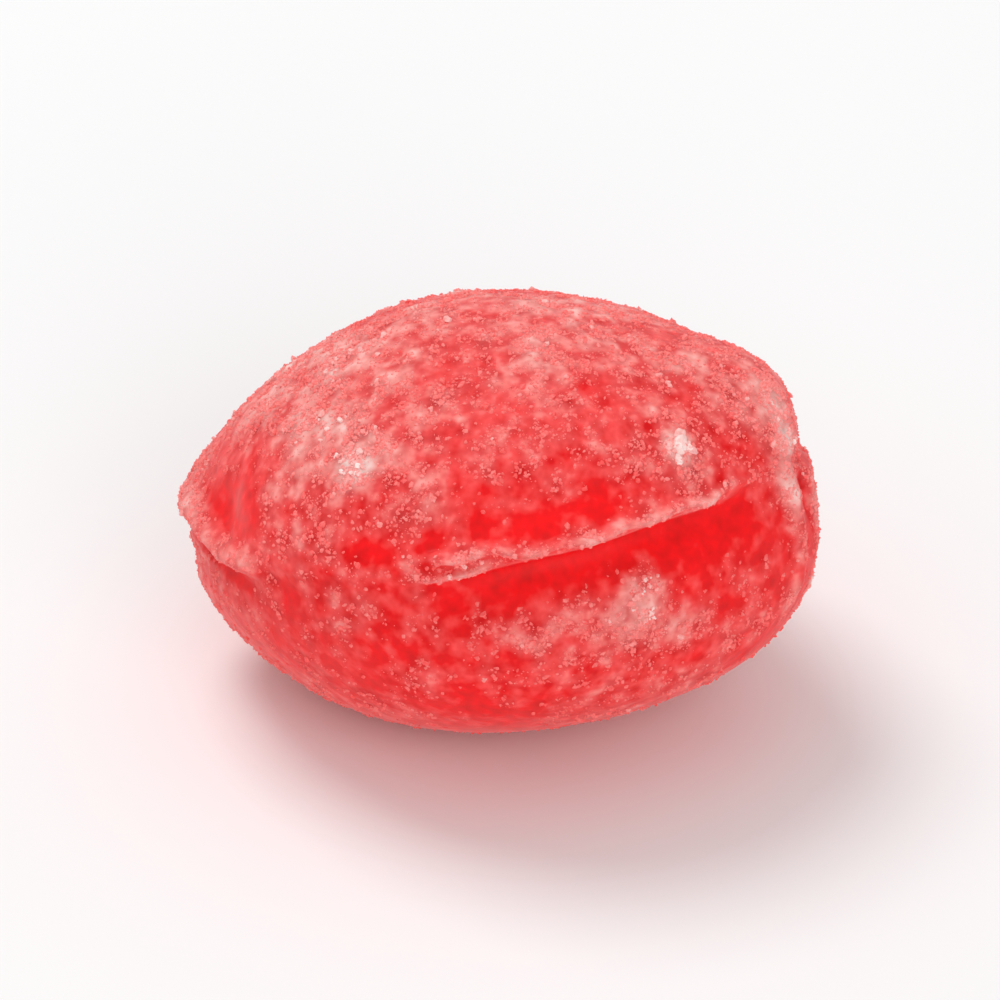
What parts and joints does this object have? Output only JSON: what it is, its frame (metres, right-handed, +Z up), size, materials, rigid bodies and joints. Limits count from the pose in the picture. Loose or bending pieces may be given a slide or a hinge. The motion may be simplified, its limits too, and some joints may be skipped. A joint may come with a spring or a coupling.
{
  "type": "fruit drop",
  "caption": "Oval fruit drop: a red boiled sweet pressed in two halves with a raised seam round it and a dusting of fine sugar.",
  "frame": {"origin": "bottom centre of the bounding box, on the surface that the drop rests on", "axes": "+X along the drop's length towards its blunter end, +Z up as it lies, -Y towards the side where the seam's fin shows"},
  "size_m": [0.0244, 0.0202, 0.0158],
  "materials": {
    "candy": "clear red boiled sugar under a fine pale sugar dust",
    "sugar": "fine powdered sugar and small crumbs, tinted by the red candy"
  },
  "bodies": {
    "root": {"fruit_drop": "candy"}
  },
  "joints": []
}
